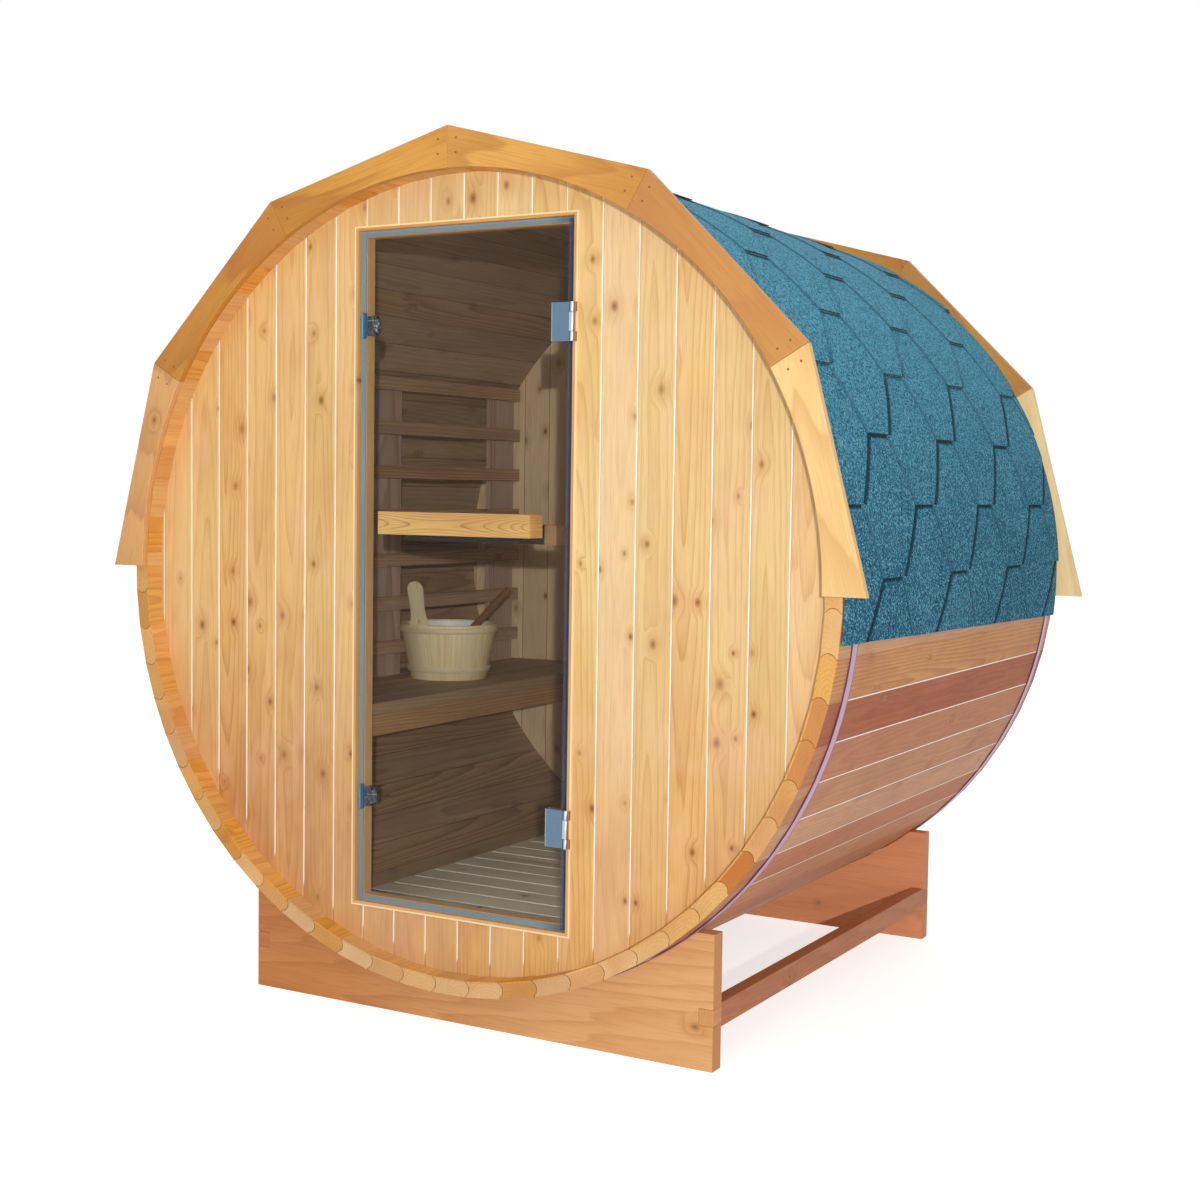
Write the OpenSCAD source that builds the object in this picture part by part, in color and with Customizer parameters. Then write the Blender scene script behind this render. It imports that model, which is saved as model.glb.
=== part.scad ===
// A short, fat barrel cabin lying on two cradles, with a framed glass door in its front end

$fn = 96;

/* [Barrel] */
// Width across the outside of the staves
barrel_diameter = 1830; // [1600:10:2100]
// Length of the staves from end to end
barrel_length = 1500; // [1300:10:2200]
// Number of staves round the barrel, in eight equal groups
stave_count = 64; // [56:8:72]
// Thickness of a stave
stave_thickness = 36; // [30:1:44]
// How far the rounded bead of a stave runs into the cove of the next
bead_reach = 9; // [6:1:11]
// Depth of the groove that holds an end wall
croze_depth = 8; // [5:1:12]
// Turn of the whole set of staves about the axis, in degrees
stave_turn = 3.6; // [0:0.05:5.6]
// Clear line left at every joint
joint_gap = 0.3; // [0.2:0.1:0.6]

/* [Hoops] */
// Width of a hoop along the barrel
hoop_width = 30; // [20:1:40]
// Thickness of the hoop strip
hoop_thickness = 2; // [1.5:0.5:3]
// Front end of the staves to the front hoop
front_hoop_inset = 64; // [50:1:90]
// Back end of the staves to the back hoop
back_hoop_inset = 34; // [20:1:90]

/* [Cradles] */
// Width of a cradle across the barrel
cradle_width = 1224; // [1150:2:1300]
// Height of wood under the lowest stave
cradle_under = 94; // [60:1:140]
// Thickness of a cradle along the barrel
cradle_thickness = 40; // [30:1:60]
// Height of the flat shoulder at a cradle's end
cradle_shoulder = 292; // [260:1:310]
// Height of a stretcher between the cradles
stretcher_height = 52; // [40:1:70]
// Width of a stretcher across the barrel
stretcher_width = 34; // [25:1:45]
// Height of the stretcher's tenon through the cradle
tenon_height = 36; // [20:1:38]
// Ground to the underside of a stretcher
stretcher_lift = 88; // [60:1:120]

/* [End walls] */
// Stave end to the outer face of an end wall
wall_recess = 48; // [40:1:70]
// Thickness of an end wall
wall_thickness = 36; // [28:1:44]
// Width of an end wall board from joint to joint
board_pitch = 87; // [80:1:92]
// Depth of the small chamfer along a board's edge
board_chamfer = 3; // [1:0.5:4]

/* [Doorway] */
// Width outside the door frame
frame_width = 583; // [540:1:640]
// Wall left between the frame's upper corners and the staves
wall_over_frame = 57; // [30:1:120]
// Wall left between the frame's lower corners and the staves
wall_under_frame = 77; // [30:1:100]
// Width of the frame's rim round the glass
frame_rim = 10; // [8:1:14]
// How far the frame stands proud of the wall, in front and behind
frame_proud = 4; // [2:1:8]
// Width of the stop behind the glass
frame_stop = 14; // [12:1:24]
// Thickness of the seal on the stop
seal_thickness = 3; // [2:0.5:4]

/* [Door] */
// Thickness of the glass
glass_thickness = 8; // [6:1:10]
// Clear way from the glass to the frame and its seal
door_gap = 6; // [5:0.5:9]
// Height of a hinge plate
hinge_height = 82; // [70:1:100]
// Width of a hinge plate
hinge_width = 44; // [38:1:60]
// Thickness of a hinge plate
hinge_plate = 6; // [5:0.5:8]
// Radius of the hinge knuckles
knuckle_radius = 5; // [4:0.5:5.5]
// Radius of the hinge pins
pin_radius = 2; // [1.5:0.1:2.5]
// Top of the glass to the middle of the upper hinge
upper_hinge_inset = 215; // [120:1:300]
// Bottom of the glass to the middle of the lower hinge
lower_hinge_inset = 219; // [120:1:300]
// Top of the glass to the middle of the upper catch
upper_catch_inset = 204; // [120:1:300]
// Bottom of the glass to the middle of the lower catch
lower_catch_inset = 234; // [120:1:300]
// Height of the wooden pull bar outside
handle_height = 50; // [40:1:60]
// Depth of the wooden pull bar outside
handle_depth = 52; // [40:1:60]
// Height of the wooden pull bar inside
inner_handle_height = 42; // [36:1:50]
// Depth of the wooden pull bar inside
inner_handle_depth = 45; // [35:1:55]
// Length of the pull bars
handle_length = 396; // [300:2:410]
// Middle of the door to the middle of the outer pull bar, towards the hinges
handle_shift = 15; // [0:1:24]
// Middle of the door to the middle of the inner pull bar, towards the hinges
inner_handle_shift = 44; // [20:1:46]
// Middle of the outer pull bar above the barrel's axis
handle_rise = 119; // [90:1:140]
// Outer pull bar's middle above the inner one's
handle_step = 18; // [4:1:22]

/* [Fascia and roof] */
// How far the corners of the fascia boards stand out from the staves
fascia_reach = 55; // [46:1:80]
// Thickness of a fascia board
fascia_thickness = 18; // [14:1:24]
// How far the back fascia hangs below the axis
back_fascia_drop = 64; // [20:1:90]
// Thickness of the roof shingles
shingle_thickness = 5; // [4:0.5:7]
// Angle by which the right-hand shingles run down past the axis
right_shingle_drop = 6.6; // [4:0.1:9]
// Angle by which the left-hand shingles run down past the axis
left_shingle_drop = -1; // [-3:0.1:6]

/* [Floor] */
// Lowest point inside the staves to the top of the floor
floor_rise = 99; // [80:1:140]
// Thickness of a floor slat
floor_thickness = 24; // [18:1:30]
// Gap between floor slats
floor_gap = 7; // [4:0.5:12]
// Number of floor slats
floor_count = 15; // [12:1:18]
// Width of a floor bearer
bearer_width = 40; // [30:1:60]
// Middle of the cabin to the middle of a floor bearer
bearer_x = 220; // [150:5:260]

/* [Bench] */
// Height of the seat above the floor
seat_height = 460; // [400:5:480]
// Middle of the cabin to the seat's front edge
seat_front = 362; // [330:1:420]
// Thickness of a seat slat
seat_thickness = 28; // [20:1:36]
// Number of seat slats
seat_count = 5; // [4:1:6]
// Gap between seat slats
seat_gap = 6; // [4:0.5:10]
// Height of the rail under the seat's front edge
rail_height = 52; // [45:1:70]
// How far the seat's front edge overhangs the rail
seat_overhang = 6; // [0:1:20]
// Thickness of the rail and of the seat's bearers
rail_thickness = 24; // [18:1:30]

/* [Backrest] */
// Seat to the top of the backrest
rest_top = 819; // [700:1:840]
// Seat to the underside of the lowest backrest slat
rest_lift = 61; // [30:1:100]
// Number of backrest slats
rest_count = 7; // [5:1:7]
// Height of a backrest slat
rest_height = 36; // [28:1:50]
// Thickness of a backrest slat
rest_thickness = 20; // [15:1:22]
// Width of a backrest post
post_width = 130; // [90:5:150]
// Thickness of a backrest post
post_thickness = 14; // [10:1:18]

/* [Pail and ladle] */
// Height of the pail
pail_height = 150; // [130:1:180]
// Outside radius of the pail at its rim
pail_rim_radius = 132; // [120:1:140]
// Outside radius of the pail at its foot
pail_foot_radius = 103; // [95:1:110]
// Thickness of the pail's wall
pail_wall = 12; // [9:1:14]
// Height of the pail's long ear above its rim
ear_height = 120; // [90:5:150]
// Radius of the ladle's handle
ladle_radius = 11; // [8:0.5:12]
// Length of the ladle's handle from the middle of its cup
ladle_length = 300; // [260:5:340]
// Lean of the ladle from the upright, in degrees
ladle_lean = 52; // [46:1:56]
// Middle of the cabin to the pail, towards the back
pail_y = 75; // [-200:1:200]

/* [Hidden] */
outer_radius = barrel_diameter / 2;
inner_radius = outer_radius - stave_thickness;
step = 360 / stave_count;
half_step = step / 2;
group_size = stave_count / 8;
corner_radius = outer_radius / cos(half_step);
front_end = -barrel_length / 2;
back_end = barrel_length / 2;
axis_height = outer_radius + cradle_under + joint_gap * 2 + (corner_radius - outer_radius);
bead_margin = 3;
bead_chord = stave_thickness - 2 * bead_margin;
bead_radius = (pow(bead_chord / 2, 2) + pow(bead_reach, 2)) / (2 * bead_reach);
middle_radius = outer_radius - stave_thickness / 2;
over = 1;
end_clear = 2;

hoop_clear = 1;
hoop_inner = corner_radius + joint_gap;
hoop_outer = hoop_inner + hoop_thickness;
front_hoop_y = front_end + front_hoop_inset;
back_hoop_y = back_end - back_hoop_inset - hoop_width;

cradle_half = cradle_width / 2;
cradle_bed = corner_radius + joint_gap * 2;
front_cradle_y = front_hoop_y + hoop_width + hoop_clear;
back_cradle_y = back_hoop_y - hoop_clear - cradle_thickness;
tenon_lift = stretcher_lift + (stretcher_height - tenon_height) / 2;

wall_radius = inner_radius + croze_depth - joint_gap;
wall_front = front_end + wall_recess;
wall_back = wall_front + wall_thickness;
rear_face = back_end - wall_recess;
room_front = wall_back;
room_back = rear_face - wall_thickness;
boards_side = floor(wall_radius / board_pitch);

frame_half = frame_width / 2;
frame_reach = sqrt(pow(wall_radius, 2) - pow(frame_half, 2));
frame_top = frame_reach - wall_over_frame;
frame_bottom = wall_under_frame - frame_reach;
frame_height = frame_top - frame_bottom;
rim_half = frame_half - frame_rim;
stop_half = rim_half - frame_stop;
frame_front = wall_front - frame_proud;
frame_back = wall_back + frame_proud;
glass_front = frame_front;
glass_back = glass_front + glass_thickness;
seal_front = glass_back + door_gap;
stop_front = seal_front + seal_thickness;
glass_half = rim_half - door_gap;
glass_top = frame_top - frame_rim - door_gap;
glass_bottom = frame_bottom + frame_rim + door_gap;
seal_margin = 2;
seal_reach = frame_stop - seal_margin;
door_boards = ceil(frame_half / board_pitch) - 1;

hinge_offset = 2;
knuckle_clear = 1;
hinge_x = rim_half + hinge_offset;
hinge_y = frame_front - knuckle_radius - knuckle_clear;
hinge_levels = [glass_top - upper_hinge_inset, glass_bottom + lower_hinge_inset];
leaf_span = 20;
moving_half = hinge_height / 2 - leaf_span - knuckle_clear;
handle_half = handle_length / 2;
bolt_share = 0.625;
bolt_radius = 5;
bolt_clear = 1;
bolt_level = handle_rise - handle_step / 2;
catch_height = 44;
catch_depth = 22;
catch_reach = 18;
catch_levels = [glass_top - upper_catch_inset, glass_bottom + lower_catch_inset];
roller_radius = 10;
roller_height = 30;

fascia_corner = outer_radius + fascia_reach;
fascia_sides = 12;
fascia_turn = 360 / fascia_sides;
mitre_gap = joint_gap / 2;
shingle_inner = corner_radius + joint_gap * 2;
shingle_least = 2;
shingle_outer = max(shingle_inner + shingle_thickness, hoop_outer + joint_gap + shingle_least);

floor_level = floor_rise - inner_radius;
fit_radius = inner_radius - joint_gap * 2;
floor_pitch = (room_back - room_front) / floor_count;

seat_level = floor_level + seat_height;
seat_under = seat_level - seat_thickness;
seat_back = room_half(seat_under);
seat_pitch = (seat_back - seat_front + seat_gap) / seat_count;
rail_face = seat_front + seat_overhang;
rest_bottom = seat_level + rest_lift;
rest_top_edge = seat_level + rest_top;
rest_pitch = (rest_top_edge - rest_bottom - rest_height) / (rest_count - 1);
rest_face = room_half(rest_top_edge) - rest_thickness;
rest_end_gap = 20;
post_lap_share = 0.8;
post_inset = 25;
post_top = rest_top_edge - rest_height * post_lap_share;
post_reach = room_back - post_inset - post_width / 2;
post_middles = [-post_reach, 0, post_reach];

pail_clear = 6;
pail_x = pail_rim_radius + pail_clear - rest_face;
pail_slope = atan((pail_rim_radius - pail_foot_radius) / pail_height);
pail_floor = 16;
liner_wall = 2;
liner_drop = 4;
liner_lift = 0.5;
band_height = 14;
band_thickness = 5;
band_shares = [0.14, 0.85];
band_levels = pail_height * band_shares;
ear_width = 46;
ear_inset = 4;
ear_turn = -96;
ear_hole_radius = 8;
ear_hole_rise = 10;
neck_share = 0.86;
neck_shares = [[0, 1.32], [0.12, 1.1], [0.28, 0.94], [0.5, 0.86], [0.75, 0.92]];
ladle_turn = 70;
ladle_facing = 75;
cup_radius = 30;
cup_depth = 30;
cup_wall = 4;
rim_inside = pail_rim_radius - pail_wall / cos(pail_slope);
ladle_top = pail_height + (ladle_radius + joint_gap) / sin(ladle_lean);
ladle_low = pail_floor + liner_lift + liner_wall + joint_gap
    + cup_radius * cos(ladle_lean) + cup_depth / 2 * sin(ladle_lean);
ladle_run = (ladle_top - ladle_low) * tan(ladle_lean);
ladle_foot = [
    rim_inside * cos(ladle_turn) - ladle_run * cos(ladle_facing),
    rim_inside * sin(ladle_turn) - ladle_run * sin(ladle_facing),
    ladle_low
];

wood_pine = [0.87, 0.67, 0.41];
wood_stave = [0.72, 0.48, 0.35];
wood_cradle = [0.75, 0.46, 0.26];
wood_fascia = [0.86, 0.61, 0.29];
wood_inner = [0.66, 0.5, 0.34];
wood_pale = [0.86, 0.78, 0.58];
metal_hoop = [0.62, 0.52, 0.66];
metal_hinge = [0.72, 0.75, 0.77];
roof_teal = [0.18, 0.45, 0.55];
glass_grey = [0.45, 0.52, 0.56, 0.4];
seal_blue = [0.42, 0.52, 0.58];
plastic_black = [0.08, 0.09, 0.11];
plastic_white = [0.92, 0.93, 0.93];

// A box between two corners
module block(low, high) {
    translate(low)
        cube(high - low);
}

// Raises what is drawn about the barrel's axis to its height over the ground
module on_axis() {
    translate([0, 0, axis_height])
        children();
}

// A round bar along the barrel between two stations
module along(radius, from, to) {
    translate([0, to, 0])
        rotate([90, 0, 0])
            cylinder(h = to - from, r = radius);
}

// A round tube along the barrel between two stations
module tube(inner, outer, from, to) {
    difference() {
        along(outer, from, to);
        along(inner, from - over, to + over);
    }
}

// End shape of one stave, standing on the top of the circle, bead to the left and cove to the right
module stave_shape() {
    low = inner_radius * tan(half_step) - joint_gap / 2;
    high = outer_radius * tan(half_step) - joint_gap / 2;
    difference() {
        union() {
            polygon([[-low, inner_radius], [low, inner_radius], [high, outer_radius], [-high, outer_radius]]);
            rotate(half_step)
                translate([bead_radius - bead_reach + joint_gap / 2, middle_radius])
                    circle(r = bead_radius);
        }
        rotate(-half_step)
            translate([bead_radius - bead_reach + joint_gap / 2, middle_radius])
                circle(r = bead_radius + joint_gap);
    }
}

// One stave with the two grooves that hold the end walls
module stave() {
    groove_low = inner_radius - over;
    groove_high = inner_radius + croze_depth;
    difference() {
        rotate([90, 0, 0])
            linear_extrude(height = barrel_length, center = true)
                stave_shape();
        block(
            [-stave_width(), wall_front - joint_gap, groove_low],
            [stave_width(), wall_back + joint_gap, groove_high]
        );
        block(
            [-stave_width(), room_back - joint_gap, groove_low],
            [stave_width(), rear_face + joint_gap, groove_high]
        );
    }
}

function stave_width() = outer_radius * tan(half_step) * 2;

// One eighth of the barrel, counted from the right side upwards
module stave_group(group) {
    color(wood_stave)
        on_axis()
            for (i = [0 : group_size - 1]) {
                turn = stave_turn + (group * group_size + i - (group_size - 1) / 2) * step;
                rotate([0, 90 - turn, 0])
                    stave();
            }
}

module right_staves() {
    stave_group(0);
}

module upper_right_staves() {
    stave_group(1);
}

module top_staves() {
    stave_group(2);
}

module upper_left_staves() {
    stave_group(3);
}

module left_staves() {
    stave_group(4);
}

module lower_left_staves() {
    stave_group(5);
}

module bottom_staves() {
    stave_group(6);
}

module lower_right_staves() {
    stave_group(7);
}

module front_hoop() {
    color(metal_hoop)
        on_axis()
            tube(hoop_inner, hoop_outer, front_hoop_y, front_hoop_y + hoop_width);
}

module back_hoop() {
    color(metal_hoop)
        on_axis()
            tube(hoop_inner, hoop_outer, back_hoop_y, back_hoop_y + hoop_width);
}

// A cradle board with its round bed and a notch for a tenon at each end
module cradle(from) {
    to = from + cradle_thickness;
    color(wood_cradle)
        difference() {
            block([-cradle_half, from, 0], [cradle_half, to, cradle_shoulder]);
            on_axis()
                along(cradle_bed, from - over, to + over);
            for (side = [-1, 1])
                scale([side, 1, 1])
                    block(
                        [cradle_half - stretcher_width, from - over, tenon_lift],
                        [cradle_half + over, to + over, tenon_lift + tenon_height]
                    );
        }
}

module front_cradle() {
    cradle(front_cradle_y);
}

module back_cradle() {
    cradle(back_cradle_y);
}

// The two rails that hold the cradles apart, with tenons let into the cradles' ends
module stretchers() {
    color(wood_cradle)
        for (side = [-1, 1])
            scale([side, 1, 1])
                union() {
                    block(
                        [cradle_half - stretcher_width, front_cradle_y + cradle_thickness, stretcher_lift],
                        [cradle_half, back_cradle_y, stretcher_lift + stretcher_height]
                    );
                    block(
                        [cradle_half - stretcher_width, front_cradle_y, tenon_lift],
                        [cradle_half, back_cradle_y + cradle_thickness, tenon_lift + tenon_height]
                    );
                }
}

// Right edge of the upright board with this number, counted from the middle
function board_edge(i) = i >= boards_side ? wall_radius + over : i * board_pitch;

// One upright board on the right half, chamfered along the edges of its outer face
module board(i, outside, inside) {
    way = outside < inside ? 1 : -1;
    low = board_edge(i) + joint_gap;
    high = board_edge(i + 1) - joint_gap;
    translate([0, 0, -outer_radius])
        linear_extrude(height = barrel_diameter)
            polygon([
                [low, inside],
                [low, outside + way * board_chamfer],
                [low + board_chamfer, outside],
                [high - board_chamfer, outside],
                [high, outside + way * board_chamfer],
                [high, inside]
            ]);
}

// The boards of one half of the front wall, from one number to another, less the doorway
module front_boards(side, first, last) {
    for (i = [first : last])
        scale([side, 1, 1])
            difference() {
                intersection() {
                    board(i, wall_front, wall_back);
                    along(wall_radius, wall_front, wall_back);
                }
                block(
                    [-frame_half, wall_front - over, frame_bottom],
                    [frame_half, wall_back + over, frame_top]
                );
            }
}

module front_wall_left() {
    color(wood_pine)
        on_axis()
            front_boards(-1, door_boards, boards_side - 1);
}

module front_wall_right() {
    color(wood_pine)
        on_axis()
            front_boards(1, door_boards, boards_side - 1);
}

// The short boards between the long ones, over or under the doorway
module short_boards(low, high) {
    for (side = [-1, 1])
        for (i = [0 : door_boards - 1])
            scale([side, 1, 1])
                intersection() {
                    board(i, wall_front, wall_back);
                    along(wall_radius, wall_front, wall_back);
                    block(
                        [-outer_radius, wall_front - over, low],
                        [outer_radius, wall_back + over, high]
                    );
                }
}

module front_wall_top() {
    color(wood_pine)
        on_axis()
            short_boards(frame_top, outer_radius);
}

module front_wall_bottom() {
    color(wood_pine)
        on_axis()
            short_boards(-outer_radius, frame_bottom);
}

// The boards of one half of the back wall
module back_boards(side) {
    for (i = [0 : boards_side - 1])
        scale([side, 1, 1])
            intersection() {
                board(i, rear_face, room_back);
                along(wall_radius, room_back, rear_face);
            }
}

module back_wall_left() {
    color(wood_pine)
        on_axis()
            back_boards(-1);
}

module back_wall_right() {
    color(wood_pine)
        on_axis()
            back_boards(1);
}

// An upright side of the door frame: a rim round the glass and a stop behind it
module jamb(side) {
    color(wood_pine)
        on_axis()
            scale([side, 1, 1])
                translate([0, 0, frame_bottom])
                    linear_extrude(height = frame_height)
                        polygon([
                            [frame_half, frame_front],
                            [frame_half, frame_back],
                            [stop_half, frame_back],
                            [stop_half, stop_front],
                            [rim_half, stop_front],
                            [rim_half, frame_front]
                        ]);
}

module left_jamb() {
    jamb(-1);
}

module right_jamb() {
    jamb(1);
}

// A level part of the door frame, between the jambs; its rim lies at one level and its stop ends at another
module frame_bar(edge, rim_end, stop_end) {
    color(wood_pine)
        on_axis()
            union() {
                block(
                    [-rim_half, frame_front, min(edge, rim_end)],
                    [rim_half, stop_front, max(edge, rim_end)]
                );
                block(
                    [-stop_half, stop_front, min(edge, stop_end)],
                    [stop_half, frame_back, max(edge, stop_end)]
                );
            }
}

module door_head() {
    frame_bar(frame_top, frame_top - frame_rim, frame_top - frame_rim - frame_stop);
}

module door_sill() {
    frame_bar(frame_bottom, frame_bottom + frame_rim, frame_bottom + frame_rim + frame_stop);
}

// The soft strips on the stops, which the glass closes towards
module door_seal() {
    top = frame_top - frame_rim;
    bottom = frame_bottom + frame_rim;
    level_half = rim_half - seal_reach - joint_gap;
    color(seal_blue)
        on_axis() {
            for (side = [-1, 1])
                scale([side, 1, 1])
                    block(
                        [rim_half - seal_reach, seal_front, bottom],
                        [rim_half, stop_front, top]
                    );
            for (low = [bottom, top - seal_reach])
                block(
                    [-level_half, seal_front, low],
                    [level_half, stop_front, low + seal_reach]
                );
        }
}

// Two round bars through the glass, at the stations of the pull bars' bolts
module bolts(radius, from, to) {
    for (side = [-1, 1])
        translate([handle_shift + side * handle_half * bolt_share, 0, bolt_level])
            along(radius, from, to);
}

module door_glass() {
    color(glass_grey)
        on_axis()
            difference() {
                block([-glass_half, glass_front, glass_bottom], [glass_half, glass_back, glass_top]);
                bolts(bolt_radius + bolt_clear, glass_front - over, glass_back + over);
            }
}

// The hinge plates on both faces of the glass, with the knuckle that turns on the pin
module hinge_clamps() {
    plate_low = glass_half - hinge_width;
    inner_high = stop_half - door_gap;
    color(metal_hinge)
        on_axis()
            for (level = hinge_levels)
                translate([0, 0, level]) {
                    difference() {
                        union() {
                            block(
                                [plate_low, glass_front - hinge_plate, -hinge_height / 2],
                                [glass_half, glass_front, hinge_height / 2]
                            );
                            block(
                                [glass_half - over, hinge_y - pin_radius, -moving_half],
                                [hinge_x, hinge_y + pin_radius, moving_half]
                            );
                            translate([hinge_x, hinge_y, -moving_half])
                                cylinder(h = moving_half * 2, r = knuckle_radius);
                        }
                        translate([hinge_x, hinge_y, -hinge_height])
                            cylinder(h = hinge_height * 2, r = pin_radius + 2 * joint_gap);
                    }
                    block(
                        [plate_low, glass_back, -hinge_height / 2],
                        [inner_high, glass_back + hinge_plate, hinge_height / 2]
                    );
                }
}

// The fixed knuckles on the frame's rim, joined by the pin
module hinge_brackets() {
    color(metal_hinge)
        on_axis()
            for (level = hinge_levels)
                translate([0, 0, level])
                    union() {
                        for (low = [-hinge_height / 2, hinge_height / 2 - leaf_span]) {
                            translate([hinge_x, hinge_y, low])
                                cylinder(h = leaf_span, r = knuckle_radius);
                            block([hinge_x, hinge_y, low], [frame_half, frame_front, low + leaf_span]);
                        }
                        translate([hinge_x, hinge_y, -hinge_height / 2])
                            cylinder(h = hinge_height, r = pin_radius);
                    }
}

// The wooden pull bars outside and inside, bolted through the glass
module door_handle() {
    color(wood_fascia)
        on_axis()
            union() {
                block(
                    [handle_shift - handle_half, glass_front - handle_depth, handle_rise - handle_height / 2],
                    [handle_shift + handle_half, glass_front, handle_rise + handle_height / 2]
                );
                block(
                    [
                        inner_handle_shift - handle_half,
                        glass_back,
                        handle_rise - handle_step - inner_handle_height / 2
                    ],
                    [
                        inner_handle_shift + handle_half,
                        glass_back + inner_handle_depth,
                        handle_rise - handle_step + inner_handle_height / 2
                    ]
                );
                bolts(bolt_radius, glass_front - over, glass_back + over);
            }
}

// The catches on the left stop, which hold the closed glass
module roller_catches() {
    color(plastic_black)
        on_axis()
            for (level = catch_levels)
                translate([-stop_half, stop_front, level])
                    union() {
                        block([0, 0, -catch_height / 2], [catch_reach, catch_depth, catch_height / 2]);
                        translate([catch_reach, catch_depth / 2, -roller_height / 2])
                            cylinder(h = roller_height, r = roller_radius);
                    }
}

// One fascia board: straight outside, round inside, cut to a mitre at both ends
module fascia_board(i) {
    half_turn = fascia_turn / 2;
    reach = fascia_corner * sin(half_turn);
    flat = fascia_corner * cos(half_turn);
    near = inner_radius * cos(half_turn) - over;
    rotate(i * fascia_turn + half_turn - 90)
        difference() {
            polygon([
                [-near * tan(half_turn) + mitre_gap, near],
                [near * tan(half_turn) - mitre_gap, near],
                [reach - mitre_gap, flat],
                [-reach + mitre_gap, flat]
            ]);
            circle(r = inner_radius);
        }
}

// The boards of one half of a fascia, as a set of flat shapes on the stave ends
module fascia_half(first, from) {
    color(wood_fascia)
        on_axis()
            translate([0, from + fascia_thickness, 0])
                rotate([90, 0, 0])
                    for (i = [first : first + 2])
                        linear_extrude(height = fascia_thickness)
                            fascia_board(i);
}

// The straight piece by which a back fascia's lowest board runs down past the axis
module fascia_tail(side) {
    outer_run = tan(fascia_turn / 2) * back_fascia_drop;
    near = sqrt(pow(inner_radius, 2) - pow(back_fascia_drop, 2)) - over;
    color(wood_fascia)
        on_axis()
            scale([side, 1, 1])
                translate([0, back_end + fascia_thickness, 0])
                    rotate([90, 0, 0])
                        linear_extrude(height = fascia_thickness)
                            difference() {
                                polygon([
                                    [near, mitre_gap],
                                    [fascia_corner, mitre_gap],
                                    [fascia_corner + outer_run, -back_fascia_drop],
                                    [near, -back_fascia_drop]
                                ]);
                                circle(r = inner_radius);
                            }
}

module front_fascia_left() {
    fascia_half(3, front_end - fascia_thickness);
}

module front_fascia_right() {
    fascia_half(0, front_end - fascia_thickness);
}

module back_fascia_left() {
    union() {
        fascia_half(3, back_end);
        fascia_tail(-1);
    }
}

module back_fascia_right() {
    union() {
        fascia_half(0, back_end);
        fascia_tail(1);
    }
}

// One half of the roof covering, hollowed where it passes over the hoops
module roof_half(side, drop) {
    far = shingle_outer * 2;
    color(roof_teal)
        on_axis()
            scale([side, 1, 1])
                difference() {
                    tube(shingle_inner, shingle_outer, front_end, back_end);
                    tube(corner_radius - over, hoop_outer + joint_gap,
                        front_hoop_y - over, front_hoop_y + hoop_width + over);
                    tube(corner_radius - over, hoop_outer + joint_gap,
                        back_hoop_y - over, back_hoop_y + hoop_width + over);
                    block([-far, front_end - over, -far], [joint_gap, back_end + over, far]);
                    rotate([0, drop, 0])
                        block([-far, front_end - over, -far], [far, back_end + over, 0]);
                }
}

module roof_left() {
    roof_half(-1, left_shingle_drop);
}

module roof_right() {
    roof_half(1, right_shingle_drop);
}

// Half the width of the room at a level, from the axis
function room_half(level) = sqrt(pow(fit_radius, 2) - pow(level, 2)) - end_clear;

// Floor boards across the barrel, with their ends cut to the slope of the staves
module floor_slats() {
    top = room_half(floor_level);
    bottom = room_half(floor_level - floor_thickness);
    color(wood_inner)
        on_axis()
            for (i = [0 : floor_count - 1])
                translate([0, room_front + (i + 1) * floor_pitch - floor_gap / 2, 0])
                    rotate([90, 0, 0])
                        linear_extrude(height = floor_pitch - floor_gap)
                            polygon([
                                [-bottom, floor_level - floor_thickness],
                                [bottom, floor_level - floor_thickness],
                                [top, floor_level],
                                [-top, floor_level]
                            ]);
}

// The two bearers under the floor boards, shaped to the staves
module floor_bearers() {
    top = floor_level - floor_thickness;
    color(wood_inner)
        on_axis()
            for (side = [-1, 1])
                scale([side, 1, 1])
                    intersection() {
                        block(
                            [bearer_x - bearer_width / 2, room_front + end_clear, -outer_radius],
                            [bearer_x + bearer_width / 2, room_back - end_clear, top]
                        );
                        along(fit_radius, room_front, room_back);
                    }
}

// The seat's boards, running from the front wall to the back wall
module bench_slats() {
    color(wood_inner)
        on_axis()
            for (i = [0 : seat_count - 1]) {
                near = seat_front + i * seat_pitch;
                block(
                    [-near - seat_pitch + seat_gap, room_front, seat_under],
                    [-near, room_back, seat_level]
                );
            }
}

// The rail under the seat's front edge and the three bearers under its boards
module bench_frame() {
    low = seat_under - rail_height;
    far = room_half(low);
    color(wood_inner)
        on_axis()
            union() {
                block([-rail_face - rail_thickness, room_front, low], [-rail_face, room_back, seat_under]);
                for (from = [room_front, -rail_thickness / 2, room_back - rail_thickness])
                    block(
                        [-far, from, low],
                        [-rail_face - rail_thickness / 2, from + rail_thickness, seat_under]
                    );
            }
}

// The level slats behind the seat
module backrest_slats() {
    color(wood_inner)
        on_axis()
            for (i = [0 : rest_count - 1])
                block(
                    [-rest_face - rest_thickness, room_front + rest_end_gap, rest_bottom + i * rest_pitch],
                    [-rest_face, room_back - rest_end_gap, rest_bottom + i * rest_pitch + rest_height]
                );
}

// The upright boards that carry the slats, standing on the seat
module backrest_posts() {
    color(wood_inner)
        on_axis()
            for (middle = post_middles)
                intersection() {
                    block(
                        [-rest_face - rest_thickness - post_thickness, middle - post_width / 2, seat_level],
                        [-rest_face - rest_thickness, middle + post_width / 2, post_top]
                    );
                    along(fit_radius, room_front, room_back);
                }
}

// Places what is drawn about the pail's foot on the seat
module on_seat() {
    translate([pail_x, pail_y, axis_height + seat_level])
        children();
}

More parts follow.
